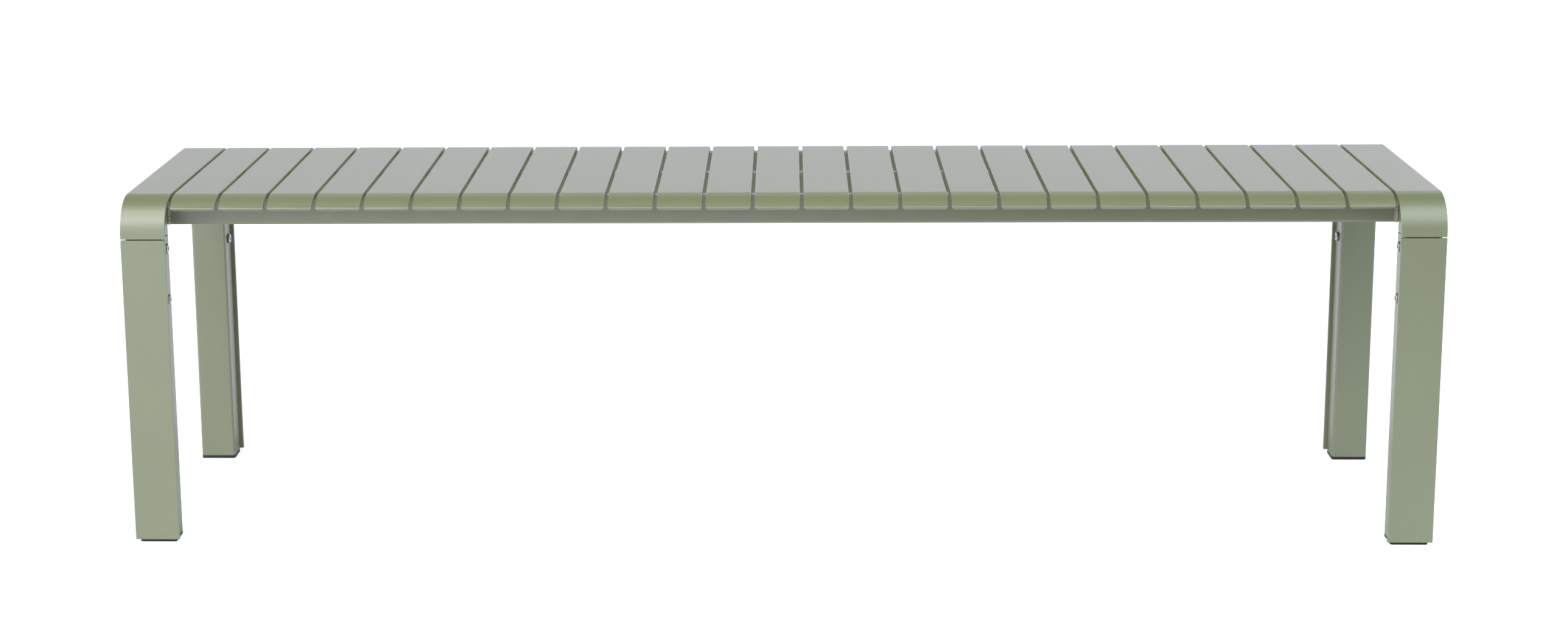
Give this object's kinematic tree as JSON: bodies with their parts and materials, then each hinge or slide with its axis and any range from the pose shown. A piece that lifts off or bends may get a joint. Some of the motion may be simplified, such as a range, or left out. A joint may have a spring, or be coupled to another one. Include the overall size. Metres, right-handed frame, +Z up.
{
  "type": "backless bench",
  "caption": "Backless outdoor bench: bent flat-bar strips across rails, on four bolted legs of plate and tube with plastic foot caps.",
  "frame": {"origin": "on the floor at the middle of the bench's footprint", "axes": "+X along the bench's length to the right end, -Y towards the front, +Z up"},
  "size_m": [1.75, 0.45, 0.475],
  "materials": {
    "coated_steel": "satin powder coat, fine texture",
    "bolt_steel": "bright stainless steel",
    "bare_steel": "zinc-plated steel, hidden inside the legs",
    "washer_black": "black, matt",
    "foot_plastic": "dark grey moulded plastic, matt"
  },
  "bodies": {
    "root": {"end_band_left": "coated_steel", "end_band_right": "coated_steel", "slat_01": "coated_steel", "slat_02": "coated_steel", "slat_03": "coated_steel", "slat_04": "coated_steel", "slat_05": "coated_steel", "slat_06": "coated_steel", "slat_07": "coated_steel", "slat_08": "coated_steel", "slat_09": "coated_steel", "slat_10": "coated_steel", "slat_11": "coated_steel", "slat_12": "coated_steel", "slat_13": "coated_steel", "slat_14": "coated_steel", "slat_15": "coated_steel", "slat_16": "coated_steel", "slat_17": "coated_steel", "slat_18": "coated_steel", "slat_19": "coated_steel", "slat_20": "coated_steel", "slat_21": "coated_steel", "slat_22": "coated_steel", "slat_23": "coated_steel", "slat_24": "coated_steel", "slat_25": "coated_steel", "rail_front": "coated_steel", "rail_centre": "coated_steel", "rail_rear": "coated_steel", "cross_tube_left": "coated_steel", "cross_tube_right": "coated_steel", "leg_stub_front_left": "coated_steel", "leg_stub_front_right": "coated_steel", "leg_stub_rear_left": "coated_steel", "leg_stub_rear_right": "coated_steel", "leg_sleeve_front_left": "bare_steel", "leg_sleeve_front_right": "bare_steel", "leg_sleeve_rear_left": "bare_steel", "leg_sleeve_rear_right": "bare_steel", "leg_plate_front_left": "coated_steel", "leg_plate_front_right": "coated_steel", "leg_plate_rear_left": "coated_steel", "leg_plate_rear_right": "coated_steel", "leg_tube_front_left": "coated_steel", "leg_tube_front_right": "coated_steel", "leg_tube_rear_left": "coated_steel", "leg_tube_rear_right": "coated_steel", "foot_cap_front_left": "foot_plastic", "foot_cap_front_right": "foot_plastic", "foot_cap_rear_left": "foot_plastic", "foot_cap_rear_right": "foot_plastic", "leg_bolts": "bolt_steel", "bolt_washers": "washer_black", "threaded_inserts": "bare_steel"}
  },
  "joints": []
}
